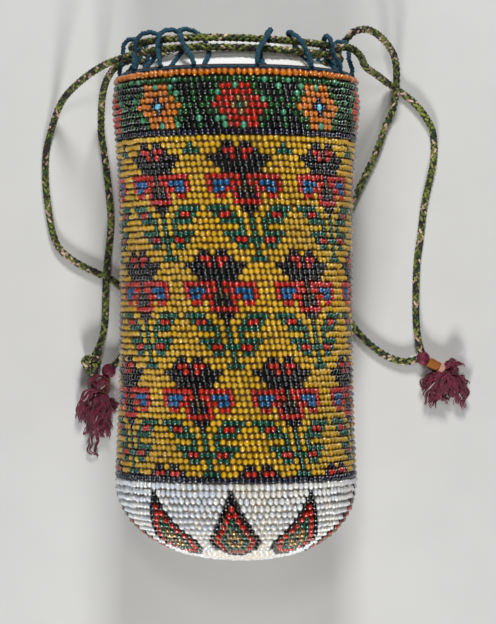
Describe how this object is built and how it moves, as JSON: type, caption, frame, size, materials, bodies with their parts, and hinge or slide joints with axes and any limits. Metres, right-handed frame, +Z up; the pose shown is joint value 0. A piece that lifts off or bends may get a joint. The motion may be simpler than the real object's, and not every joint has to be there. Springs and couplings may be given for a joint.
{
  "type": "beaded medicine bag",
  "caption": "Round bead-crochet drawstring bag with a domed base, cotton lining, loops round the mouth and two braided cords ending in tassels.",
  "frame": {"origin": "under the middle of the bag, on the surface that it lies on", "axes": "+Z up, +Y along the bag's axis towards its mouth, +X to the right seen from above"},
  "size_m": [0.1522, 0.1784, 0.079],
  "materials": {
    "star_beads": "opaque glass seed beads, black and navy with green, orange and red",
    "gold_beads": "lined glass seed beads, gold with black, red, blue and green motifs",
    "white_beads": "opal white glass seed beads with black, red, green and gold petals",
    "orange_beads": "larger orange glass seed beads",
    "teal_thread": "crocheted thread",
    "cotton": "plain woven cotton",
    "olive_cord": "round braid of olive, green, brown and cream threads",
    "magenta_thread": "loose silky threads",
    "ochre_thread": "wound thread",
    "pink_thread": "wound thread"
  },
  "bodies": {
    "root": {"cord_left_inner": "olive_cord", "cord_left_outer": "olive_cord", "cord_right_inner": "olive_cord", "cord_right_outer": "olive_cord", "cotton_lining": "cotton", "drawstring_left_mouth": "olive_cord", "drawstring_right_mouth": "olive_cord", "flower_body": "gold_beads", "left_ball": "magenta_thread", "left_knot": "olive_cord", "left_neck": "ochre_thread", "left_tassel": "magenta_thread", "loop_01": "teal_thread", "loop_02": "teal_thread", "loop_03": "teal_thread", "loop_04": "teal_thread", "loop_05": "teal_thread", "loop_06": "teal_thread", "loop_07": "teal_thread", "loop_08": "teal_thread", "loop_09": "teal_thread", "loop_10": "teal_thread", "loop_11": "teal_thread", "loop_12": "teal_thread", "loop_13": "teal_thread", "loop_14": "teal_thread", "petal_base": "white_beads", "right_ball": "magenta_thread", "right_neck": "ochre_thread", "right_tassel": "magenta_thread", "right_tie": "pink_thread", "rim_beads": "orange_beads", "star_band": "star_beads", "thread_edge": "teal_thread"}
  },
  "joints": []
}
